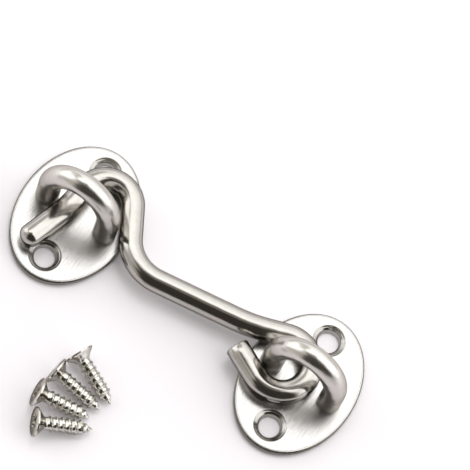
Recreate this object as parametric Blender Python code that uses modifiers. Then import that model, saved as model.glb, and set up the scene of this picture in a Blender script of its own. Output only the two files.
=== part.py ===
"""Cabin hook and eye latch, 100 mm over its plates, bent from 6 mm stainless rod.

The back of both plates lies on z = 0 and the origin is the centre of the hinge plate. The eye plate
lies towards -X. The hook is bent flat, in one plane above the plates, and swings about the leg of the
hinge staple that its loop goes round.
"""
import math

import bmesh
import bpy
from mathutils import Matrix, Vector

MM = 0.001

# Rod and plate stock
ROD = 6.0 * MM
STAPLE_ROD = 6.0 * MM
PLATE_THICKNESS = 2.0 * MM
PLATE_LENGTH = 40.0 * MM
PLATE_WIDTH = 29.5 * MM
PLATE_EDGE = 0.5 * MM

# Clearances
SEAT_GAP = 0.3 * MM
LEG_GAP = 0.2 * MM
TIP_GAP = 0.4 * MM
LEAN_GAP = 0.45 * MM

# Screw holes in the plates
HOLE_SPACING = 27.3 * MM
HOLE_BORE = 5.4 * MM
HOLE_SINK = 8.4 * MM
HOLE_STEP = 6.8 * MM
STEP_DEPTH = 0.55 * MM
SINK_DEPTH = 1.65 * MM

# Loop of the hook
LOOP_PLAY = 1.5 * MM
LOOP_SHIFT = 2.3 * MM
TAIL_ANGLE = 25.0
TAIL_RUN = 8.9 * MM
LOOP_ROOM = 1.6 * MM

# Shank, crank and hooked end
NECK_ANGLE = 20.5
NECK_RUN = 5.6 * MM
NECK_BEND = 42.0 * MM
SHANK_ANGLE = 9.2
SHANK_RUN = 21.4 * MM
CRANK_BEND = 11.5 * MM
CRANK_ANGLE = 60.0
CRANK_RUN = 8.2 * MM
HOOK_BEND = 6.8 * MM
TIP_BEND = 40.0 * MM
TIP_LEAN = 16.0
TIP_RUN = 8.2 * MM
TIP_DOME = 2.5 * MM
HOOK_CLOSE = 1.0

# Staples
STAPLE_LEG = 9.8 * MM
STAPLE_CROWN = 12.5 * MM
TENON = 4.0 * MM
PEEN_DEPTH = 0.9 * MM
PEEN_SLOPE = math.radians(45.0)
PEEN_RELIEF = 0.05 * MM
SHOULDER_STEP = 0.02 * MM
END_CHAMFER = 0.25 * MM

# Wood screws
SCREW_LENGTH = 15.0 * MM
SCREW_THREAD = 4.0 * MM
SCREW_HEAD = 7.5 * MM
SCREW_CORE = 3.1 * MM
SCREW_RIM = 0.4 * MM
SCREW_CONE = 2.1 * MM
SCREW_POINT = 3.2 * MM
SCREW_TIP = 0.5 * MM
RECESS_SPAN = 4.4 * MM
RECESS_WIDTH = 0.9 * MM
RECESS_DEPTH = 1.9 * MM
RECESS_TAPER = 0.45
RECESS_TURN = math.radians(20.0)

# Where each loose screw lies: centre of its head, turn about Z and dip of its point, in degrees
SCREW_PLACES = (
    ((-49.01 * MM, -26.78 * MM, 3.77 * MM), -22.5, 9.0),
    ((-51.29 * MM, -34.13 * MM, 4.45 * MM), -4.2, 11.6),
    ((-51.59 * MM, -41.67 * MM, 5.19 * MM), 13.7, 16.3),
    ((-47.82 * MM, -48.21 * MM, 4.57 * MM), 31.8, 11.8),
)

# Facets
BEND_STEP = 8.0
DOME_RINGS = 5
DOME_SWEEP = math.radians(84.0)
ROD_SIDES = 20
OUTLINE_SIDES = 96
TURNED_SIDES = 40
EDGE_STEPS = 3
EDGE_ANGLE = math.radians(60.0)
SEARCH_STEPS = 40

# Sizes that follow from those above
HOOK_HEIGHT = PLATE_THICKNESS + SEAT_GAP + ROD / 2
LEG_REACH = (ROD + STAPLE_ROD) / 2
LOOP_BEND = LEG_REACH + LOOP_PLAY
STAPLE_SPREAD = LOOP_SHIFT + LOOP_BEND + LEG_REACH + LOOP_ROOM
PIVOT = Vector((-STAPLE_SPREAD / 2, 0.0, 0.0))
BACK_ANGLE = math.radians(TAIL_ANGLE)
LOOP_RISE = (LOOP_PLAY - LEG_GAP - LOOP_SHIFT * math.sin(BACK_ANGLE)) / math.cos(BACK_ANGLE)


def clear_scene():
    """Remove what the file opened with."""
    for item in list(bpy.data.objects):
        bpy.data.objects.remove(item, do_unlink=True)


def new_collection(name):
    """Make a collection in the scene."""
    group = bpy.data.collections.new(name)
    bpy.context.scene.collection.children.link(group)
    return group


def metal(name, colour, roughness):
    """Make a metal finish from its colour and roughness."""
    finish = bpy.data.materials.new(name)
    finish.use_nodes = True
    shader = finish.node_tree.nodes["Principled BSDF"]
    shader.inputs["Base Color"].default_value = (*colour, 1.0)
    shader.inputs["Metallic"].default_value = 1.0
    shader.inputs["Roughness"].default_value = roughness
    finish.diffuse_color = (*colour, 1.0)
    return finish


def place(item, group, finish=None, parent=None):
    """Put an object in its collection, with its finish and what it is fixed to."""
    group.objects.link(item)
    if finish is not None:
        item.data.materials.append(finish)
    if parent is not None:
        item.parent = parent
    return item


def mark(name, location, group):
    """Add an empty that carries the pieces of one fitting."""
    empty = bpy.data.objects.new(name, None)
    empty.location = location
    group.objects.link(empty)
    return empty


def bend_route(start, heading, steps):
    """Centre line of a rod bent flat: ("run", length) and ("bend", radius, turn to the left)."""
    points = [Vector(start)]
    angle = math.radians(heading)
    for step in steps:
        here = points[-1]
        forward = Vector((math.cos(angle), math.sin(angle), 0.0))
        if step[0] == "run":
            points.append(here + forward * step[1])
            continue
        radius = step[1]
        turn = math.radians(step[2])
        side = math.copysign(1.0, turn)
        centre = here + Vector((-forward.y, forward.x, 0.0)) * radius * side
        arms = max(2, math.ceil(abs(step[2]) / BEND_STEP))
        for index in range(1, arms + 1):
            arm = Matrix.Rotation(turn * index / arms, 3, "Z") @ (here - centre)
            points.append(centre + arm)
        angle += turn
    return points


def dome(end, forward, length, radius):
    """Points and radii that round off the end of a rod."""
    cap = []
    for index in range(1, DOME_RINGS + 1):
        angle = DOME_SWEEP * index / DOME_RINGS
        cap.append((end + forward * length * math.sin(angle), radius * math.cos(angle)))
    return cap


def rod_curve(name, line, origin=Vector((0.0, 0.0, 0.0))):
    """Curve object of a round rod along (point, radius) pairs, with filled ends."""
    data = bpy.data.curves.new(name, "CURVE")
    data.dimensions = "3D"
    data.bevel_depth = 1.0
    data.bevel_resolution = (ROD_SIDES - 4) // 2
    data.use_fill_caps = True
    spline = data.splines.new("POLY")
    spline.points.add(len(line) - 1)
    for knot, (point, radius) in zip(spline.points, line):
        knot.co = (*(point - origin), 1.0)
        knot.radius = radius
    spline.use_smooth = True
    item = bpy.data.objects.new(name, data)
    item.location = origin
    return item


def turned(name, profile, sides=TURNED_SIDES):
    """Solid turned about Z from an open profile of (radius, height), outer side running down."""
    data = bpy.data.meshes.new(name)
    verts = [(radius, 0.0, height) for radius, height in profile]
    data.from_pydata(verts, [(index, index + 1) for index in range(len(verts) - 1)], [])
    item = bpy.data.objects.new(name, data)
    screw = item.modifiers.new("turn", "SCREW")
    screw.axis = "Z"
    screw.steps = sides
    screw.render_steps = sides
    screw.use_merge_vertices = True
    screw.merge_threshold = 0.000001
    screw.use_smooth_shade = True
    return item


def cutter(item, group, parent):
    """Keep a cutting shape out of sight."""
    item.hide_render = True
    item.display_type = "WIRE"
    return place(item, group, parent=parent)


def cut(item, tool, name):
    """Cut a tool's shape out of a piece."""
    boolean = item.modifiers.new(name, "BOOLEAN")
    boolean.operation = "DIFFERENCE"
    boolean.solver = "EXACT"
    boolean.object = tool


def loop_centre():
    """Centre of the hook's loop: its tail runs past the pivot leg with LEG_GAP to spare."""
    return PIVOT + Vector((LOOP_SHIFT, LOOP_RISE, HOOK_HEIGHT))


def hook_routes():
    """Centre lines of the hook's tail, shank and hooked end, the first two from the top of the loop."""
    top = loop_centre() + Vector((0.0, LOOP_BEND, 0.0))
    tail = bend_route(top, 0.0, [
        ("bend", LOOP_BEND, -180.0 - TAIL_ANGLE),
        ("run", TAIL_RUN),
    ])
    shank = bend_route(top, 180.0, [
        ("bend", LOOP_BEND, NECK_ANGLE),
        ("run", NECK_RUN),
        ("bend", NECK_BEND, SHANK_ANGLE - NECK_ANGLE),
        ("run", SHANK_RUN),
        ("bend", CRANK_BEND, -SHANK_ANGLE - CRANK_ANGLE),
        ("run", CRANK_RUN),
    ])
    tip = bend_route(shank[-1], 180.0 - CRANK_ANGLE, [
        ("bend", HOOK_BEND, CRANK_ANGLE + 90.0 - HOOK_CLOSE),
        ("bend", TIP_BEND, HOOK_CLOSE - TIP_LEAN),
        ("run", TIP_RUN),
    ])
    return tail, shank, tip


def distance_to(line, x, y):
    """Shortest distance in plan from a point to a centre line."""
    best = math.inf
    here = Vector((x, y))
    for first, last in zip(line, line[1:]):
        first, last = first.xy, last.xy
        along = last - first
        share = max(0.0, min(1.0, (here - first).dot(along) / along.length_squared))
        best = min(best, (first + along * share - here).length)
    return best


def left_of(line, y, reach):
    """Where a leg stands at level y, clear by reach of the left side of a line that runs down."""
    place_x = line[-1].x
    for first, last in zip(line, line[1:]):
        if first.y >= y > last.y:
            along = last - first
            crossing = first.x + along.x * (y - first.y) / along.y
            place_x = crossing - reach * along.length / abs(along.y)
    return place_x


def eye_centre(shank, tip):
    """Centre of the eye staple: its left leg clears the tip and its right leg leans on the crank."""
    low, high = tip[-1].y, tip[0].y
    for _ in range(SEARCH_STEPS):
        level = (low + high) / 2
        right = left_of(tip, level, LEG_REACH + TIP_GAP) + STAPLE_SPREAD
        if distance_to(shank, right, level) > LEG_REACH + LEAN_GAP:
            low = level
        else:
            high = level
    left = left_of(tip, low, LEG_REACH + TIP_GAP)
    return Vector((left + STAPLE_SPREAD / 2, low, 0.0))


def build_hook(group, finish):
    """Hook: one rod bent flat, cut square at the tail and domed at the tip."""
    tail, shank, tip = hook_routes()
    radius = ROD / 2
    centre_line = tail[::-1] + shank[1:] + tip[1:]
    line = [(point, radius) for point in centre_line]
    backward = (tail[-1] - tail[-2]).normalized()
    line.insert(0, (tail[-1] + backward * END_CHAMFER, radius - END_CHAMFER))
    line += dome(tip[-1], (tip[-1] - tip[-2]).normalized(), TIP_DOME, radius)
    return place(rod_curve("hook", line, PIVOT), group, finish)


def staple_line():
    """Half of the staple's centre line with its radii, from the peened tenon to the crown."""
    radius = STAPLE_ROD / 2
    x = -STAPLE_SPREAD / 2
    seat = PLATE_THICKNESS + SEAT_GAP
    peen_top = PEEN_DEPTH + SEAT_GAP - SEAT_GAP / math.cos(PEEN_SLOPE)
    foot = [
        (PEEN_RELIEF, TENON / 2 + peen_top - PEEN_RELIEF),
        (peen_top, TENON / 2),
        (seat - SHOULDER_STEP, TENON / 2),
        (seat, radius - END_CHAMFER),
        (seat + END_CHAMFER, radius),
        (STAPLE_LEG, radius),
    ]
    line = [(Vector((x, 0.0, height)), size) for height, size in foot]
    arms = math.ceil(90.0 / BEND_STEP)
    for index in range(1, arms + 1):
        angle = math.pi / 2 * index / arms
        height = STAPLE_LEG + STAPLE_CROWN * math.sin(angle)
        line.append((Vector((x * math.cos(angle), 0.0, height)), radius))
    return line


def build_staple(name, group, finish, parent):
    """Staple: a rod arch whose tenons go through the plate and are peened over behind it."""
    half = staple_line()
    other = [(Vector((-point.x, point.y, point.z)), size) for point, size in reversed(half[:-1])]
    return place(rod_curve(name, half + other), group, finish, parent)


def build_plate(name, group, tools, finish, parent):
    """Plate: an oval with softened edges, two screw holes sunk in two steps and two tenon holes."""
    data = bpy.data.meshes.new(name)
    shape = bmesh.new()
    size = Matrix.Diagonal((PLATE_WIDTH / 2, PLATE_LENGTH / 2, PLATE_THICKNESS, 1.0))
    lift = Matrix.Translation((0.0, 0.0, 0.5))
    bmesh.ops.create_cone(shape, cap_ends=True, segments=OUTLINE_SIDES, radius1=1.0, radius2=1.0,
                          depth=1.0, matrix=size @ lift)
    shape.to_mesh(data)
    shape.free()
    plate = place(bpy.data.objects.new(name, data), group, finish, parent)
    edge = plate.modifiers.new("edge", "BEVEL")
    edge.limit_method = "ANGLE"
    edge.angle_limit = EDGE_ANGLE
    edge.width = PLATE_EDGE
    edge.segments = EDGE_STEPS

    beyond = 1.0 * MM
    screw_profile = [
        (0.0, PLATE_THICKNESS + beyond),
        (HOLE_SINK / 2, PLATE_THICKNESS + beyond),
        (HOLE_SINK / 2, PLATE_THICKNESS),
        (HOLE_STEP / 2, PLATE_THICKNESS - STEP_DEPTH),
        (HOLE_BORE / 2, PLATE_THICKNESS - SINK_DEPTH),
        (HOLE_BORE / 2, -beyond),
        (0.0, -beyond),
    ]
    tenon_bore = TENON / 2 + SEAT_GAP
    tenon_profile = [
        (0.0, PLATE_THICKNESS + beyond),
        (tenon_bore, PLATE_THICKNESS + beyond),
        (tenon_bore, PEEN_DEPTH),
        (tenon_bore + PEEN_DEPTH + beyond, -beyond),
        (0.0, -beyond),
    ]
    holes = [
        ("upper_screw", screw_profile, (0.0, HOLE_SPACING / 2)),
        ("lower_screw", screw_profile, (0.0, -HOLE_SPACING / 2)),
        ("left_tenon", tenon_profile, (-STAPLE_SPREAD / 2, 0.0)),
        ("right_tenon", tenon_profile, (STAPLE_SPREAD / 2, 0.0)),
    ]
    for label, profile, (x, y) in holes:
        tool = cutter(turned(name + "_" + label + "_cutter", profile), tools, parent)
        tool.location = (x, y, 0.0)
        cut(plate, tool, label)
    return plate


def recess_blade(name, turn):
    """One blade of the driver recess, tapering downwards."""
    data = bpy.data.meshes.new(name)
    shape = bmesh.new()
    corner = math.sqrt(0.5)
    beyond = 0.5 * MM
    bmesh.ops.create_cone(shape, cap_ends=True, segments=4, radius1=RECESS_TAPER * corner, radius2=corner,
                          depth=1.0, matrix=Matrix.Rotation(math.radians(45.0), 4, "Z"))
    depth = RECESS_DEPTH + beyond
    size = Matrix.Diagonal((RECESS_SPAN, RECESS_WIDTH, depth, 1.0))
    lift = Matrix.Translation((0.0, 0.0, beyond - depth / 2))
    bmesh.ops.transform(shape, verts=shape.verts, matrix=Matrix.Rotation(turn, 4, "Z") @ lift @ size)
    shape.to_mesh(data)
    shape.free()
    return bpy.data.objects.new(name, data)


def build_screw(name, spot, group, tools, finish):
    """Countersunk wood screw, its thread as a plain envelope, with a crossed driver recess."""
    head, turn, dip = spot
    neck = -SCREW_RIM - SCREW_CONE
    profile = [
        (0.0, 0.0),
        (SCREW_HEAD / 2, 0.0),
        (SCREW_HEAD / 2, -SCREW_RIM),
        (SCREW_CORE / 2, neck),
        (SCREW_THREAD / 2, neck - (SCREW_THREAD - SCREW_CORE) / 2),
        (SCREW_THREAD / 2, SCREW_POINT - SCREW_LENGTH),
        (SCREW_TIP / 2, -SCREW_LENGTH),
        (0.0, -SCREW_LENGTH),
    ]
    screw = place(turned(name, profile), group, finish)
    along = Matrix.Rotation(math.radians(turn), 4, "Z") @ Matrix.Rotation(math.radians(dip - 90.0), 4, "Y")
    screw.matrix_world = Matrix.Translation(head) @ along
    for index, angle in enumerate((RECESS_TURN, RECESS_TURN + math.pi / 2)):
        blade = recess_blade(f"{name}_recess_{index + 1}", angle)
        cutter(blade, tools, screw)
        cut(screw, blade, f"recess_{index + 1}")
    return screw


def build_latch():
    """Put the latch together: hinge fitting, eye fitting, hook and the four loose screws."""
    clear_scene()
    group = new_collection("hook_and_eye_latch")
    tools = new_collection("cutters")
    polished = metal("polished_stainless", (0.62, 0.60, 0.58), 0.12)
    brushed = metal("brushed_stainless", (0.70, 0.69, 0.67), 0.35)
    plated = metal("bright_screw_steel", (0.58, 0.56, 0.54), 0.18)

    _, shank, tip = hook_routes()
    hinge = mark("hinge_fitting", (0.0, 0.0, 0.0), group)
    eye = mark("eye_fitting", eye_centre(shank, tip), group)
    for label, fitting in (("hinge", hinge), ("eye", eye)):
        build_plate(label + "_plate", group, tools, brushed, fitting)
        build_staple(label + "_staple", group, polished, fitting)
    build_hook(group, polished)
    for index, spot in enumerate(SCREW_PLACES):
        build_screw(f"screw_{index + 1}", spot, group, tools, plated)


build_latch()
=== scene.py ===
"""Cabin hook and eye latch, dressed for its picture. Sizes are in metres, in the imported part's frame."""
import math

import bmesh
import bpy
from mathutils import Matrix, Vector


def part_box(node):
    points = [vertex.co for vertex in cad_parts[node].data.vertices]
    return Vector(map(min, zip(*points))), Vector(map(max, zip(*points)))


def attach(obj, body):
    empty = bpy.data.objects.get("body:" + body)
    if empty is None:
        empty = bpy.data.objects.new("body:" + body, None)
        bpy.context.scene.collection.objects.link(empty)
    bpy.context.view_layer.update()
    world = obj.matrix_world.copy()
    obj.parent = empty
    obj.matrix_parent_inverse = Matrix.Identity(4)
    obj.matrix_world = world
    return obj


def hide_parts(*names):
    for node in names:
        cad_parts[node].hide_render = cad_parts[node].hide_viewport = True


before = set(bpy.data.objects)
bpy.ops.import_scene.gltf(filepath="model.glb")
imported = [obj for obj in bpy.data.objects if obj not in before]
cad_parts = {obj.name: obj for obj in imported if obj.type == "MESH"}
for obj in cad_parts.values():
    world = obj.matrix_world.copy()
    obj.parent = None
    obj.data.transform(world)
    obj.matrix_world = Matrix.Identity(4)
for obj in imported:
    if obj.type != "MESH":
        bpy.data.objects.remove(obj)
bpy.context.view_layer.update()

# Hook
# The hook is one length of 6 mm cold-drawn stainless rod, bent flat on a jig and buffed to a soft shine.
# Its loop goes round one leg of the hinge staple, its tail is sawn square and its tip is ground round.
MM = 0.001
ROD = 6.0 * MM
PLATE_THICKNESS = 2.0 * MM
SEAT_GAP = 0.3 * MM
HOOK_HEIGHT = PLATE_THICKNESS + SEAT_GAP + ROD / 2

LOOP_BEND = 7.5 * MM
LOOP_X = -6.4 * MM
LOOP_Y = 0.362 * MM
TAIL_ANGLE = 25.0
TAIL_RUN = 8.9 * MM
NECK_ANGLE = 20.5
NECK_RUN = 5.6 * MM
NECK_BEND = 42.0 * MM
SHANK_ANGLE = 9.2
SHANK_RUN = 21.4 * MM
CRANK_BEND = 11.5 * MM
CRANK_ANGLE = 60.0
CRANK_RUN = 8.2 * MM
HOOK_BEND = 6.8 * MM
HOOK_CLOSE = 1.0
TIP_BEND = 40.0 * MM
TIP_LEAN = 16.0
TIP_RUN = 8.2 * MM
TIP_DOME = 2.5 * MM
END_CHAMFER = 0.25 * MM
BEND_STEP = 3.0
RUN_STEP = 2.0 * MM
DOME_RINGS = 12
DOME_SWEEP = 86.0
ROD_SIDES = 48
ROD_CREASE = math.radians(50.0)
# Drawing lines about 0.4 mm apart round the rod and 30 mm long; the rod's UV map is in millimetres
DRAWN_SCALE = (2.5, 0.033, 1.0)
DRAWN_DEPTH = 0.008 * MM
# Per metre: waves about 5 mm across and blotches about 1 mm across
WAVE_SCALE = 200.0
BLOTCH_SCALE = 900.0


def stations(start, heading, steps):
    """Points and directions along a rod bent flat: ("run", length) and ("bend", radius, left turn)."""
    angle = math.radians(heading)
    ahead = Vector((math.cos(angle), math.sin(angle), 0.0))
    found = [(Vector(start), ahead)]
    for step in steps:
        here, ahead = found[-1]
        if step[0] == "run":
            pieces = max(1, round(step[1] / RUN_STEP))
            for index in range(1, pieces + 1):
                found.append((here + ahead * step[1] * index / pieces, ahead))
            continue
        radius = step[1]
        turn = math.radians(step[2])
        centre = here + Vector((-ahead.y, ahead.x, 0.0)) * math.copysign(radius, turn)
        pieces = max(2, math.ceil(abs(step[2]) / BEND_STEP))
        for index in range(1, pieces + 1):
            swing = Matrix.Rotation(turn * index / pieces, 3, "Z")
            found.append((centre + swing @ (here - centre), swing @ ahead))
    return found


def rod(name, line, flat):
    """Closed rod along (point, direction, radius) stations; flat is square to the plane of its bends."""
    verts = []
    along = [0.0]
    for index, (point, ahead, radius) in enumerate(line):
        if index:
            along.append(along[-1] + (point - line[index - 1][0]).length)
        side = flat.cross(ahead).normalized()
        for corner in range(ROD_SIDES):
            angle = 2 * math.pi * corner / ROD_SIDES
            verts.append(point + (side * math.sin(angle) - flat * math.cos(angle)) * radius)
    faces = []
    places = []
    for ring in range(len(line) - 1):
        for corner in range(ROD_SIDES):
            after = (corner + 1) % ROD_SIDES
            low, high = ring * ROD_SIDES, (ring + 1) * ROD_SIDES
            faces.append((low + corner, low + after, high + after, high + corner))
            around = ROD * math.pi / ROD_SIDES
            for step, row in ((0, ring), (1, ring), (1, ring + 1), (0, ring + 1)):
                places.append(((corner + step) * around / MM, along[row] / MM))
    for ring, turn in ((0, -1), (len(line) - 1, 1)):
        cap = [ring * ROD_SIDES + corner for corner in range(ROD_SIDES)][::turn]
        faces.append(cap)
        places += [(corner * ROD * math.pi / ROD_SIDES / MM, along[ring] / MM)
                   for corner in range(ROD_SIDES)]
    data = bpy.data.meshes.new(name)
    data.from_pydata(verts, [], faces)
    layer = data.uv_layers.new(name="rod")
    for loop, place in zip(layer.data, places):
        loop.uv = place
    shape = bmesh.new()
    shape.from_mesh(data)
    bmesh.ops.recalc_face_normals(shape, faces=shape.faces)
    shape.to_mesh(data)
    shape.free()
    data.shade_smooth()
    data.set_sharp_from_angle(angle=ROD_CREASE)
    piece = bpy.data.objects.new(name, data)
    bpy.context.scene.collection.objects.link(piece)
    return piece


def linear(hex_colour):
    """sRGB hex to linear red, green and blue with a solid alpha."""
    values = []
    for start in (1, 3, 5):
        value = int(hex_colour[start:start + 2], 16) / 255
        values.append(value / 12.92 if value <= 0.04045 else ((value + 0.055) / 1.055) ** 2.4)
    return (*values, 1.0)


def add(tree, kind, inputs=None, **settings):
    """Add a node with its settings; each input is given a value or the output that feeds it."""
    item = tree.nodes.new(kind)
    for name, value in settings.items():
        setattr(item, name, value)
    for socket, value in (inputs or {}).items():
        if isinstance(value, bpy.types.NodeSocket):
            tree.links.new(value, item.inputs[socket])
        else:
            item.inputs[socket].default_value = value
    return item


def new_finish(name):
    """Empty node material."""
    finish = bpy.data.materials.new(name)
    finish.use_nodes = True
    finish.node_tree.nodes.clear()
    return finish


def noise(tree, vector, scale, detail):
    """Noise pattern; its scale is per metre, or 1 where the vector is stretched already."""
    pattern = add(tree, "ShaderNodeTexNoise", {"Vector": vector, "Scale": scale, "Detail": detail})
    return pattern.outputs["Fac"]


def stretch(tree, vector, scales):
    """Coordinates times a scale for each axis."""
    return add(tree, "ShaderNodeVectorMath", {0: vector, 1: scales}, operation="MULTIPLY").outputs[0]


def between(tree, pattern, low, high):
    """Value that follows a pattern from low to high."""
    spread = add(tree, "ShaderNodeMapRange", {"Value": pattern, "To Min": low, "To Max": high})
    return spread.outputs["Result"]


def two_tones(tree, pattern, dark, pale, low=0.0, high=1.0):
    """Colour that follows a pattern from dark, at low, to pale, at high."""
    ramp = add(tree, "ShaderNodeValToRGB", {"Fac": pattern})
    for stop, position, colour in zip(ramp.color_ramp.elements, (low, high), (dark, pale)):
        stop.position = position
        stop.color = linear(colour)
    return ramp.outputs["Color"]


def relief(tree, pattern, depth, under=None):
    """Normal of a surface that a pattern raises by depth, on top of another normal where one is given."""
    inputs = {"Height": pattern, "Strength": 1.0, "Distance": depth}
    if under is not None:
        inputs["Normal"] = under
    return add(tree, "ShaderNodeBump", inputs).outputs["Normal"]


def bare_steel(tree, colour, rim, roughness, normal):
    """Metal shader and output of a finish; rim is the metal's tint at grazing angles."""
    shader = add(tree, "ShaderNodeBsdfPrincipled", {
        "Base Color": colour,
        "Metallic": 1.0,
        "Specular Tint": linear(rim),
        "Roughness": roughness,
        "Normal": normal,
    })
    add(tree, "ShaderNodeOutputMaterial", {"Surface": shader.outputs["BSDF"]})


def buffed_rod(name, wave_depth, roughness, dark, pale, rim):
    """Buffed stainless rod: a soft shine, faint drawing lines along it and a slight waviness."""
    finish = new_finish(name)
    tree = finish.node_tree
    place = add(tree, "ShaderNodeUVMap", uv_map="rod").outputs[0]
    local = add(tree, "ShaderNodeTexCoord").outputs["Object"]
    lines = noise(tree, stretch(tree, place, DRAWN_SCALE), 1.0, 3.0)
    waves = noise(tree, local, WAVE_SCALE, 1.0)
    blotches = noise(tree, local, BLOTCH_SCALE, 4.0)
    lined = relief(tree, lines, DRAWN_DEPTH, relief(tree, waves, wave_depth))
    bare_steel(tree, two_tones(tree, blotches, dark, pale), rim, between(tree, lines, *roughness), lined)
    return finish


def hook_line():
    """Stations of the hook from its sawn tail, round the loop and along the shank to its tip."""
    top = Vector((LOOP_X, LOOP_Y + LOOP_BEND, HOOK_HEIGHT))
    tail = stations(top, 0.0, [
        ("bend", LOOP_BEND, -180.0 - TAIL_ANGLE),
        ("run", TAIL_RUN),
    ])
    front = stations(top, 180.0, [
        ("bend", LOOP_BEND, NECK_ANGLE),
        ("run", NECK_RUN),
        ("bend", NECK_BEND, SHANK_ANGLE - NECK_ANGLE),
        ("run", SHANK_RUN),
        ("bend", CRANK_BEND, -SHANK_ANGLE - CRANK_ANGLE),
        ("run", CRANK_RUN),
        ("bend", HOOK_BEND, CRANK_ANGLE + 90.0 - HOOK_CLOSE),
        ("bend", TIP_BEND, HOOK_CLOSE - TIP_LEAN),
        ("run", TIP_RUN),
    ])
    line = [(point, -ahead, ROD / 2) for point, ahead in tail[:0:-1]]
    line += [(point, ahead, ROD / 2) for point, ahead in front]
    end, ahead, radius = line[0]
    line.insert(0, (end - ahead * END_CHAMFER, ahead, radius - END_CHAMFER))
    end, ahead, radius = line[-1]
    for index in range(1, DOME_RINGS + 1):
        angle = math.radians(DOME_SWEEP) * index / DOME_RINGS
        line.append((end + ahead * TIP_DOME * math.sin(angle), ahead, radius * math.cos(angle)))
    return line


rod_finish = buffed_rod("buffed_stainless_rod", 0.10 * MM, (0.12, 0.20), "#B6B3AE", "#C4C0BC", "#54514D")
hook = rod("hook_rod", hook_line(), Vector((0.0, 0.0, 1.0)))
hook.data.materials.append(rod_finish)
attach(hook, "hook")
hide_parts("hook")

# Staples
# Each staple is an arch of the same 6 mm rod. Its legs are turned down to 4 mm tenons, which go through
# the plate and are hammered over behind it, flush with the back.
STAPLE_HALF = 8.7 * MM
STAPLE_LEG = 9.8 * MM
STAPLE_CROWN = 12.5 * MM
TENON = 4.0 * MM
PEEN_TOP = 0.776 * MM
PEEN_RELIEF = 0.05 * MM
SHOULDER_STEP = 0.02 * MM
ARCH_STEPS = 60


def staple_line():
    """Stations of a staple, from one peened tenon over the crown to the other."""
    up = Vector((0.0, 0.0, 1.0))
    seat = PLATE_THICKNESS + SEAT_GAP
    leg = [
        (PEEN_RELIEF, TENON / 2 + PEEN_TOP - PEEN_RELIEF),
        (PEEN_TOP, TENON / 2),
        (seat - SHOULDER_STEP, TENON / 2),
        (seat, ROD / 2 - END_CHAMFER),
        (seat + END_CHAMFER, ROD / 2),
        ((seat + STAPLE_LEG) / 2, ROD / 2),
    ]
    line = [(Vector((-STAPLE_HALF, 0.0, height)), up, radius) for height, radius in leg]
    for index in range(ARCH_STEPS + 1):
        angle = math.pi * index / ARCH_STEPS
        cosine, sine = math.cos(angle), math.sin(angle)
        point = Vector((-STAPLE_HALF * cosine, 0.0, STAPLE_LEG + STAPLE_CROWN * sine))
        ahead = Vector((STAPLE_HALF * sine, 0.0, STAPLE_CROWN * cosine)).normalized()
        line.append((point, ahead, ROD / 2))
    line += [(Vector((STAPLE_HALF, 0.0, height)), -up, radius) for height, radius in reversed(leg)]
    return line


def centre_of(node):
    """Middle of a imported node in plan."""
    low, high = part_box(node)
    return Vector(((low[0] + high[0]) / 2, (low[1] + high[1]) / 2, 0.0))


# The press leaves the arches less even than the hook, so their shine wavers more
# Their tones and rim tint are lighter than the hook's, though the rod is the same: painted light for the
# brighter floor that the arches mirror
arch_finish_painted_lighter = buffed_rod("buffed_stainless_arch_painted_lighter", 0.30 * MM, (0.20, 0.30), "#CAC6C2", "#D8D5D0", "#BAB7B3")
for side in ("hinge", "eye"):
    staple = rod(side + "_staple_rod", staple_line(), Vector((0.0, 1.0, 0.0)))
    staple.location = centre_of(side + "_plate")
    staple.data.materials.append(arch_finish_painted_lighter)
    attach(staple, side + "_fitting")
    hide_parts(side + "_staple")

# Plates
# Each plate is an oval blanked from 2 mm stainless sheet, its edge eased and its face satin finished.
# Two holes are drilled and countersunk for the wood screws, and two more take the staple's tenons.
PLATE_LENGTH = 40.0 * MM
PLATE_WIDTH = 29.5 * MM
PLATE_STEPS = 160
PLATE_CREASE = math.radians(32.0)
# How far in from the outline, and how high, the edge runs from the face to the back
EDGE_PROFILE = (
    (1.90 * MM, 2.00 * MM), (1.45 * MM, 1.99 * MM), (1.05 * MM, 1.975 * MM), (0.66 * MM, 1.948 * MM),
    (0.58 * MM, 1.938 * MM), (0.36 * MM, 1.905 * MM), (0.25 * MM, 1.85 * MM), (0.14 * MM, 1.76 * MM),
    (0.05 * MM, 1.63 * MM), (0.0, 1.46 * MM), (0.0, 0.70 * MM), (0.01 * MM, 0.56 * MM),
    (0.04 * MM, 0.36 * MM), (0.10 * MM, 0.16 * MM), (0.18 * MM, 0.04 * MM), (0.24 * MM, 0.0),
)
# Rows of the profile that are dull and darker: the fine line beside the rim, the roll-over and the broken
# lower part. Their darker colour is partly the duller sheared edge and partly painted shade, which draws the
# thin dark lines round the rim. The burnished band between them, which the die rubs smooth, stays bright.
DULL_PAINTED_SHADE_ROWS = (3, 5, 6, 7, 8, 10, 11, 12, 13, 14)
HOLE_SPACING = 27.3 * MM
HOLE_BORE = 5.4 * MM
HOLE_SINK = 8.4 * MM
HOLE_STEP = 6.8 * MM
STEP_DEPTH = 0.55 * MM
SINK_DEPTH = 1.65 * MM
HOLE_LIP = 0.10 * MM
PEEN_DEPTH = 0.9 * MM
BEYOND = 1.0 * MM
DRILL_SIDES = 96
STEEL_RIM = "#8C8882"
# Per metre: grinding lines about 0.25 mm apart and 3 mm long, and clouds about 4 mm across
GRIND_SCALE = (4000.0, 330.0, 330.0)
CLOUD_SCALE = 260.0
# Per metre: upright marks of the die, about 0.3 mm apart
SHEAR_SCALE = (3000.0, 3000.0, 300.0)
# Rings 0.5 mm apart, coarser than real ones so that they show, and blotches under 2 mm across
RING_PITCH = 0.5 * MM
SINK_SCALE = 600.0


def new_object(name, shape):
    """Object made of a bmesh, which is freed."""
    data = bpy.data.meshes.new(name)
    shape.to_mesh(data)
    shape.free()
    return bpy.data.objects.new(name, data)


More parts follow.
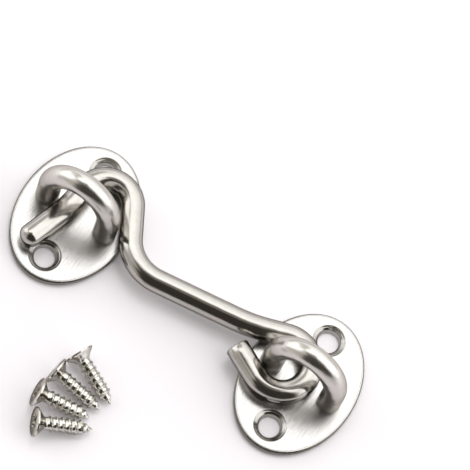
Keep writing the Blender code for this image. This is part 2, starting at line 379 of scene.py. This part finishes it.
def turned(name, profile, sides):
    """Closed solid turned about Z from (radius, height) pairs that start and end on the axis."""
    shape = bmesh.new()
    rings = []
    for radius, height in profile:
        if radius == 0.0:
            rings.append([shape.verts.new((0.0, 0.0, height))])
            continue
        ring = []
        for corner in range(sides):
            angle = 2 * math.pi * corner / sides
            ring.append(shape.verts.new((radius * math.cos(angle), radius * math.sin(angle), height)))
        rings.append(ring)
    for upper, lower in zip(rings, rings[1:]):
        for corner in range(sides):
            after = (corner + 1) % sides
            loop = [upper[corner % len(upper)], upper[after % len(upper)],
                    lower[after % len(lower)], lower[corner % len(lower)]]
            shape.faces.new(list(dict.fromkeys(loop)))
    bmesh.ops.recalc_face_normals(shape, faces=shape.faces)
    return new_object(name, shape)


def cut_from(piece, tools):
    """Cut the tools' shapes out of a piece and keep the result as its mesh."""
    for tool in tools:
        bpy.context.scene.collection.objects.link(tool)
        boolean = piece.modifiers.new("cut", "BOOLEAN")
        boolean.operation = "DIFFERENCE"
        boolean.solver = "EXACT"
        boolean.material_mode = "TRANSFER"
        boolean.object = tool
    bpy.context.view_layer.update()
    seen = piece.evaluated_get(bpy.context.evaluated_depsgraph_get())
    cut = bpy.data.meshes.new_from_object(seen)
    piece.modifiers.clear()
    piece.data = cut
    for tool in tools:
        bpy.data.objects.remove(tool, do_unlink=True)


def satin_sheet():
    """Satin stainless sheet: belt-ground in one direction, so it blurs what it mirrors."""
    finish = new_finish("satin_stainless_sheet")
    tree = finish.node_tree
    local = add(tree, "ShaderNodeTexCoord").outputs["Object"]
    lines = noise(tree, stretch(tree, local, GRIND_SCALE), 1.0, 3.0)
    clouds = noise(tree, local, CLOUD_SCALE, 3.0)
    tone = two_tones(tree, lines, "#C1BFBE", "#D2D0CF", 0.3, 0.7)
    bare_steel(tree, tone, STEEL_RIM, between(tree, clouds, 0.19, 0.28), relief(tree, lines, 0.022 * MM))
    return finish


def turned_sink():
    """Countersink as the tool leaves it: bright, with fine rings round the hole."""
    finish = new_finish("bright_countersink")
    tree = finish.node_tree
    local = add(tree, "ShaderNodeTexCoord").outputs["Object"]
    # Distance from the nearer screw hole's axis
    folded = add(tree, "ShaderNodeVectorMath", {0: local}, operation="ABSOLUTE")
    offset = add(tree, "ShaderNodeVectorMath", {0: folded.outputs[0], 1: (0.0, HOLE_SPACING / 2, 0.0)},
                 operation="SUBTRACT")
    flat = stretch(tree, offset.outputs[0], (1.0, 1.0, 0.0))
    reach = add(tree, "ShaderNodeVectorMath", {0: flat}, operation="LENGTH")
    phase = add(tree, "ShaderNodeMath", {0: reach.outputs["Value"], 1: 2 * math.pi / RING_PITCH},
                operation="MULTIPLY")
    rings = add(tree, "ShaderNodeMath", {0: phase.outputs[0]}, operation="SINE")
    rough = between(tree, noise(tree, local, SINK_SCALE, 2.0), 0.08, 0.16)
    bare_steel(tree, linear("#AEACA8"), STEEL_RIM, rough, relief(tree, rings.outputs[0], 0.026 * MM))
    return finish


def plate_blank(name):
    """Oval sheet whose face rolls over towards its edge, as blanking leaves it."""
    shape = bmesh.new()
    rings = []
    for inset, height in EDGE_PROFILE:
        ring = []
        for index in range(PLATE_STEPS):
            angle = 2 * math.pi * index / PLATE_STEPS
            rim = Vector((PLATE_WIDTH / 2 * math.cos(angle), PLATE_LENGTH / 2 * math.sin(angle)))
            outward = Vector((rim.x / PLATE_WIDTH ** 2, rim.y / PLATE_LENGTH ** 2)).normalized()
            ring.append(shape.verts.new((*(rim - outward * inset), height)))
        rings.append(ring)
    for row, (upper, lower) in enumerate(zip(rings, rings[1:])):
        for index in range(PLATE_STEPS):
            after = (index + 1) % PLATE_STEPS
            face = shape.faces.new((upper[index], lower[index], lower[after], upper[after]))
            # Dull rows take the darker edge colour, which is partly painted shade round the rim
            face.material_index = int(row in DULL_PAINTED_SHADE_ROWS)
    shape.faces.new(rings[0])
    shape.faces.new(rings[-1][::-1])
    piece = new_object(name, shape)
    bpy.context.scene.collection.objects.link(piece)
    return piece


def sheared_edge_with_painted_shade():
    """Blanked edge of the sheet: duller than its face, with fine marks across it from the die. Its dark tone
    is partly painted shade, for the thin dark lines round the rim.
    """
    finish = new_finish("sheared_stainless_edge_painted_shade")
    tree = finish.node_tree
    local = add(tree, "ShaderNodeTexCoord").outputs["Object"]
    marks = noise(tree, stretch(tree, local, SHEAR_SCALE), 1.0, 2.0)
    # Dark tone, partly painted shade for the dark lines round the rim
    tone = two_tones(tree, marks, "#6D6A64", "#8A8781")
    bare_steel(tree, tone, STEEL_RIM, between(tree, marks, 0.2, 0.35), relief(tree, marks, 0.02 * MM))
    return finish


sheet_finish = satin_sheet()
edge_and_painted_shade_finish = sheared_edge_with_painted_shade()
sink_finish = turned_sink()
screw_hole = [
    (0.0, PLATE_THICKNESS + BEYOND),
    (HOLE_SINK / 2 + HOLE_LIP, PLATE_THICKNESS + BEYOND),
    (HOLE_SINK / 2 + HOLE_LIP, PLATE_THICKNESS),
    (HOLE_SINK / 2 + HOLE_LIP * 0.3, PLATE_THICKNESS - HOLE_LIP * 0.3),
    (HOLE_SINK / 2 - HOLE_LIP, PLATE_THICKNESS - HOLE_LIP),
    (HOLE_STEP / 2 + HOLE_LIP, PLATE_THICKNESS - STEP_DEPTH + HOLE_LIP * 0.6),
    (HOLE_STEP / 2 - HOLE_LIP * 0.6, PLATE_THICKNESS - STEP_DEPTH),
    (HOLE_STEP / 2 - HOLE_LIP * 1.6, PLATE_THICKNESS - STEP_DEPTH - HOLE_LIP * 1.2),
    (HOLE_BORE / 2, PLATE_THICKNESS - SINK_DEPTH),
    (HOLE_BORE / 2, HOLE_LIP),
    (HOLE_BORE / 2 + HOLE_LIP, 0.0),
    (HOLE_BORE / 2 + HOLE_LIP, -BEYOND),
    (0.0, -BEYOND),
]
tenon_bore = TENON / 2 + SEAT_GAP
tenon_hole = [
    (0.0, PLATE_THICKNESS + BEYOND),
    (tenon_bore, PLATE_THICKNESS + BEYOND),
    (tenon_bore, PEEN_DEPTH),
    (tenon_bore + PEEN_DEPTH + BEYOND, -BEYOND),
    (0.0, -BEYOND),
]
for side in ("hinge", "eye"):
    plate = plate_blank(side + "_plate_sheet")
    plate.data.materials.append(sheet_finish)
    plate.data.materials.append(edge_and_painted_shade_finish)
    tools = []
    for profile, x, y in (
        (screw_hole, 0.0, HOLE_SPACING / 2),
        (screw_hole, 0.0, -HOLE_SPACING / 2),
        (tenon_hole, STAPLE_HALF, 0.0),
        (tenon_hole, -STAPLE_HALF, 0.0),
    ):
        tool = turned("drill", profile, DRILL_SIDES)
        tool.data.materials.append(sink_finish)
        tool.location = (x, y, 0.0)
        tools.append(tool)
    cut_from(plate, tools)
    plate.data.shade_smooth()
    plate.data.set_sharp_from_angle(angle=PLATE_CREASE)
    even = plate.modifiers.new("even", "WEIGHTED_NORMAL")
    even.keep_sharp = True
    plate.location = centre_of(side + "_plate")
    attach(plate, side + "_fitting")
    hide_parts(side + "_plate")

# Screws
# Four 4 x 15 mm wood screws, cold-headed and thread-rolled from bright steel wire, lie loose beside the
# latch. The countersunk head has a cross recess and the thread runs from the head to a sharp point.
SCREW_LENGTH = 15.0 * MM
SCREW_HEAD = 7.5 * MM
SCREW_RIM = 0.4 * MM
SCREW_CONE = 2.1 * MM
SCREW_CORE = 3.1 * MM
SCREW_THREAD = 4.0 * MM
SCREW_PITCH = 1.6 * MM
SCREW_POINT = 3.2 * MM
SCREW_EASE = 0.08 * MM
SCREW_SIDES = 40
SCREW_CREASE = math.radians(40.0)
CONE_STEPS = 8
THREAD_STEPS = 14
RECESS_SPAN = 4.4 * MM
RECESS_WIDTH = 0.9 * MM
RECESS_DEPTH = 1.9 * MM
RECESS_TAPER = 0.45
RECESS_TURN = math.radians(20.0)
# Per metre: clouds about 1.4 mm across and grain about 0.3 mm across
STAIN_SCALE = 700.0
GRAIN_SCALE = 3000.0
# Where each screw lies: centre of its head, turn about Z and dip of its point, in degrees
SCREW_PLACES = (
    ((-49.01 * MM, -26.78 * MM, 3.77 * MM), -22.5, 9.0),
    ((-51.29 * MM, -34.13 * MM, 4.45 * MM), -4.2, 11.6),
    ((-51.59 * MM, -41.67 * MM, 5.19 * MM), 13.7, 16.3),
    ((-47.82 * MM, -48.21 * MM, 4.57 * MM), 31.8, 11.8),
)


def thread_reach(depth, angle):
    """Distance of the threaded shank's surface from its axis, depth below the head's top."""
    start = SCREW_RIM + SCREW_CONE
    core = SCREW_CORE / 2
    crest = (SCREW_THREAD - SCREW_CORE) / 2
    left = SCREW_LENGTH - depth
    if left < SCREW_POINT:
        core *= max(0.02, left / SCREW_POINT) ** 0.8
        crest *= min(1.0, left / SCREW_POINT * 1.3)
    crest *= min(1.0, max(0.0, (depth - start) / (0.8 * SCREW_PITCH)))
    turn = (depth / SCREW_PITCH + angle / (2 * math.pi)) % 1.0
    rise = max(0.0, 1.0 - abs(turn - 0.5) / 0.26)
    return core + crest * rise ** 0.7


def screw_body(name):
    """Closed mesh of a screw, head up, with its head's top at the origin."""
    head = SCREW_HEAD / 2
    neck = SCREW_RIM + SCREW_CONE
    rings = [
        (SCREW_EASE * 0.2, lambda angle: head - SCREW_EASE),
        (SCREW_EASE, lambda angle: head),
        (SCREW_RIM, lambda angle: head),
    ]
    for index in range(1, CONE_STEPS + 1):
        share = index / CONE_STEPS
        depth = SCREW_RIM + SCREW_CONE * share
        reach = head + (SCREW_CORE / 2 - head) * math.sin(share * math.pi / 2) ** 0.5 * share ** 0.6
        rings.append((depth, lambda angle, reach=reach: reach))
    rows = math.ceil((SCREW_LENGTH - neck) / SCREW_PITCH * THREAD_STEPS)
    for index in range(1, rows + 1):
        depth = neck + (SCREW_LENGTH - neck) * index / rows
        rings.append((depth, lambda angle, depth=depth: thread_reach(depth, angle)))
    shape = bmesh.new()
    loops = []
    for depth, reach in rings:
        loop = []
        for corner in range(SCREW_SIDES):
            angle = 2 * math.pi * corner / SCREW_SIDES
            radius = reach(angle)
            loop.append(shape.verts.new((radius * math.cos(angle), radius * math.sin(angle), -depth)))
        loops.append(loop)
    for upper, lower in zip(loops, loops[1:]):
        for corner in range(SCREW_SIDES):
            after = (corner + 1) % SCREW_SIDES
            shape.faces.new((upper[corner], lower[corner], lower[after], upper[after]))
    shape.faces.new(loops[0])
    shape.faces.new(loops[-1][::-1])
    bmesh.ops.recalc_face_normals(shape, faces=shape.faces)
    piece = new_object(name, shape)
    bpy.context.scene.collection.objects.link(piece)
    return piece


def recess_blade(turn):
    """One blade of the driver recess, tapering downwards."""
    shape = bmesh.new()
    corner = math.sqrt(0.5)
    above = 0.5 * MM
    bmesh.ops.create_cone(shape, cap_ends=True, segments=4, radius1=RECESS_TAPER * corner, radius2=corner,
                          depth=1.0, matrix=Matrix.Rotation(math.radians(45.0), 4, "Z"))
    depth = RECESS_DEPTH + above
    size = Matrix.Diagonal((RECESS_SPAN, RECESS_WIDTH, depth, 1.0))
    lift = Matrix.Translation((0.0, 0.0, above - depth / 2))
    bmesh.ops.transform(shape, verts=shape.verts, matrix=Matrix.Rotation(turn, 4, "Z") @ lift @ size)
    return new_object("blade", shape)


def rolled_steel():
    """Bright thread-rolled steel: shiny, a little uneven, and warmer where it is darker."""
    finish = new_finish("bright_rolled_steel")
    tree = finish.node_tree
    local = add(tree, "ShaderNodeTexCoord").outputs["Object"]
    grain = noise(tree, local, GRAIN_SCALE, 2.0)
    tone = two_tones(tree, noise(tree, local, STAIN_SCALE, 3.0), "#BFBCB4", "#E2DFDA", 0.35, 0.6)
    bare_steel(tree, tone, STEEL_RIM, between(tree, grain, 0.05, 0.13), relief(tree, grain, 0.01 * MM))
    return finish


screw_finish = rolled_steel()
for index, (head_place, turn, dip) in enumerate(SCREW_PLACES):
    screw = screw_body(f"screw_{index + 1}_threaded")
    screw.data.materials.append(screw_finish)
    cut_from(screw, [recess_blade(RECESS_TURN), recess_blade(RECESS_TURN + math.pi / 2)])
    screw.data.shade_smooth()
    screw.data.set_sharp_from_angle(angle=SCREW_CREASE)
    lean = Matrix.Rotation(math.radians(dip - 90.0), 4, "Y")
    turned_lean = Matrix.Rotation(math.radians(turn), 4, "Z") @ lean
    screw.data.transform(Matrix.Translation(head_place) @ turned_lean)
    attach(screw, "hinge_fitting")
    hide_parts(f"screw_{index + 1}")

# Floor
# A sheet of white paper that the latch lies on. It keeps the soft shadows, and a faint glow for the
# camera, the metal and glass lifts the rest of it to white.
FLOOR_REACH = 1.5
FLOOR_DROP = 0.1 * MM
FLOOR_GLOW = 0.03

floor_data = bpy.data.meshes.new("paper")
corners = [(x * FLOOR_REACH, y * FLOOR_REACH, -FLOOR_DROP) for x, y in ((-1, -1), (1, -1), (1, 1), (-1, 1))]
floor_data.from_pydata(corners, [], [(0, 1, 2, 3)])
floor = bpy.data.objects.new("paper_floor", floor_data)
bpy.context.scene.collection.objects.link(floor)
paper = new_finish("white_paper")
tree = paper.node_tree
matt = add(tree, "ShaderNodeBsdfPrincipled", {"Base Color": linear("#FCF8FD"), "Roughness": 0.2})
path = add(tree, "ShaderNodeLightPath")
seen = add(tree, "ShaderNodeMath", {0: path.outputs["Is Camera Ray"], 1: path.outputs["Is Glossy Ray"]},
           operation="MAXIMUM")
shown = add(tree, "ShaderNodeMath", {0: seen.outputs[0], 1: path.outputs["Is Transmission Ray"]},
            operation="MAXIMUM")
strength = add(tree, "ShaderNodeMath", {0: shown.outputs[0], 1: FLOOR_GLOW}, operation="MULTIPLY")
glow = add(tree, "ShaderNodeEmission", {"Color": linear("#FFFFFF"), "Strength": strength.outputs[0]})
both = add(tree, "ShaderNodeAddShader", {0: matt.outputs[0], 1: glow.outputs[0]})
add(tree, "ShaderNodeOutputMaterial", {"Surface": both.outputs[0]})
floor_data.materials.append(paper)

# Light
# A tent of white cloth lit from behind and above the latch, with black card along the camera's side,
# which puts the dark bands on the rods. Softboxes stand at both ends, and the camera darkens the top.
# Towards the cloth, where along that direction card gives way to cloth, and the cloth's level by height
TENT_AXIS = (-0.017, 0.964, -0.266)
TENT_EDGE = (-0.44, -0.28)
TENT_RISE = (
    (0.0, 0.3), (0.04, 0.38), (0.12, 1.0), (0.36, 1.3), (0.70, 1.6), (0.94, 1.98), (1.0, 1.98),
)
CARD_LEVEL = 0.053
# Azimuth and elevation of each patch's middle, its inner and outer reach in degrees, and its level
PATCHES = (
    (-150.0, 42.0, 12.0, 26.0, 0.72),
    (-134.0, 8.0, 14.0, 30.0, 0.65),
    (20.0, 22.0, 20.0, 32.0, 1.9),
    (180.0, 25.0, 18.0, 32.0, 1.9),
    (138.0, 40.0, 8.0, 22.0, 0.72),
    (166.0, 46.0, 3.0, 12.0, 0.46),
    (-90.0, 85.0, 9.0, 14.5, 0.27),
)

world = bpy.data.worlds.new("light_tent")
bpy.context.scene.world = world
world.use_nodes = True
tree = world.node_tree
tree.nodes.clear()
way = add(tree, "ShaderNodeTexCoord").outputs["Generated"]
apart = add(tree, "ShaderNodeSeparateXYZ", {0: way})
rise = add(tree, "ShaderNodeFloatCurve", {"Value": apart.outputs["Z"]})
curve = rise.mapping.curves[0]
top_level = TENT_RISE[-1][1]
curve.points[0].location = (TENT_RISE[0][0], TENT_RISE[0][1] / top_level)
curve.points[1].location = (TENT_RISE[-1][0], 1.0)
for height, share in TENT_RISE[1:-1]:
    curve.points.new(height, share / top_level)
for point in curve.points:
    point.handle_type = "VECTOR"
rise.mapping.update()
north = add(tree, "ShaderNodeVectorMath", {0: way, 1: TENT_AXIS}, operation="DOT_PRODUCT")
cloth = add(tree, "ShaderNodeMapRange", {"Value": north.outputs["Value"], "From Min": TENT_EDGE[0],
                                         "From Max": TENT_EDGE[1], "To Max": top_level},
            interpolation_type="SMOOTHSTEP")
tent = add(tree, "ShaderNodeMath", {0: cloth.outputs["Result"], 1: rise.outputs[0], 2: CARD_LEVEL},
           operation="MULTIPLY_ADD")
level = tent.outputs[0]
for azimuth, elevation, inner, outer, strength in PATCHES:
    flat = math.cos(math.radians(elevation))
    middle = (flat * math.cos(math.radians(azimuth)), flat * math.sin(math.radians(azimuth)),
              math.sin(math.radians(elevation)))
    near = add(tree, "ShaderNodeVectorMath", {0: way, 1: middle}, operation="DOT_PRODUCT")
    share = add(tree, "ShaderNodeMapRange", {"Value": near.outputs["Value"],
                                             "From Min": math.cos(math.radians(outer)),
                                             "From Max": math.cos(math.radians(inner))},
                interpolation_type="SMOOTHSTEP")
    patch = add(tree, "ShaderNodeMix", {0: share.outputs["Result"], 2: level, 3: strength})
    level = patch.outputs[0]
path = add(tree, "ShaderNodeLightPath")
# Brown board and skin give the dark parts a warm cast
warmth = add(tree, "ShaderNodeMix", {0: level, 6: linear("#FFF1DF"), 7: linear("#FFFFFD")}, data_type="RGBA")
light = add(tree, "ShaderNodeBackground", {"Color": warmth.outputs[2], "Strength": level})
plain = add(tree, "ShaderNodeBackground", {"Color": linear("#FFFFFF"), "Strength": 1.0})
mixed = add(tree, "ShaderNodeMixShader", {0: path.outputs["Is Camera Ray"], 1: light.outputs[0],
                                          2: plain.outputs[0]})
add(tree, "ShaderNodeOutputWorld", {"Surface": mixed.outputs[0]})

# Camera
# A long lens, high over the hinge side and rolled, as in the photograph.
CAMERA_TARGET = Vector((-34.84 * MM, 23.87 * MM, 0.0))
CAMERA_AZIMUTH = math.radians(11.33)
CAMERA_ELEVATION = math.radians(68.2)
CAMERA_ROLL = math.radians(23.51)
CAMERA_DISTANCE = 1049.65 * MM
CAMERA_LENS = 318.7
CAMERA_SENSOR = 36.0
CAMERA_NEAR = 0.05
CAMERA_FAR = 20.0

back = Vector((math.sin(CAMERA_AZIMUTH) * math.cos(CAMERA_ELEVATION),
               -math.cos(CAMERA_AZIMUTH) * math.cos(CAMERA_ELEVATION),
               math.sin(CAMERA_ELEVATION)))
camera = bpy.data.objects.new("camera", bpy.data.cameras.new("camera"))
camera.data.sensor_width = CAMERA_SENSOR
camera.data.lens = CAMERA_LENS
camera.data.clip_start = CAMERA_NEAR
camera.data.clip_end = CAMERA_FAR
level_turn = (-back).to_track_quat("-Z", "Y").to_matrix().to_4x4()
camera.matrix_world = (Matrix.Translation(CAMERA_TARGET + back * CAMERA_DISTANCE) @ level_turn
                       @ Matrix.Rotation(CAMERA_ROLL, 4, "Z"))
bpy.context.scene.collection.objects.link(camera)
bpy.context.scene.camera = camera
bpy.context.scene.view_settings.view_transform = "Standard"
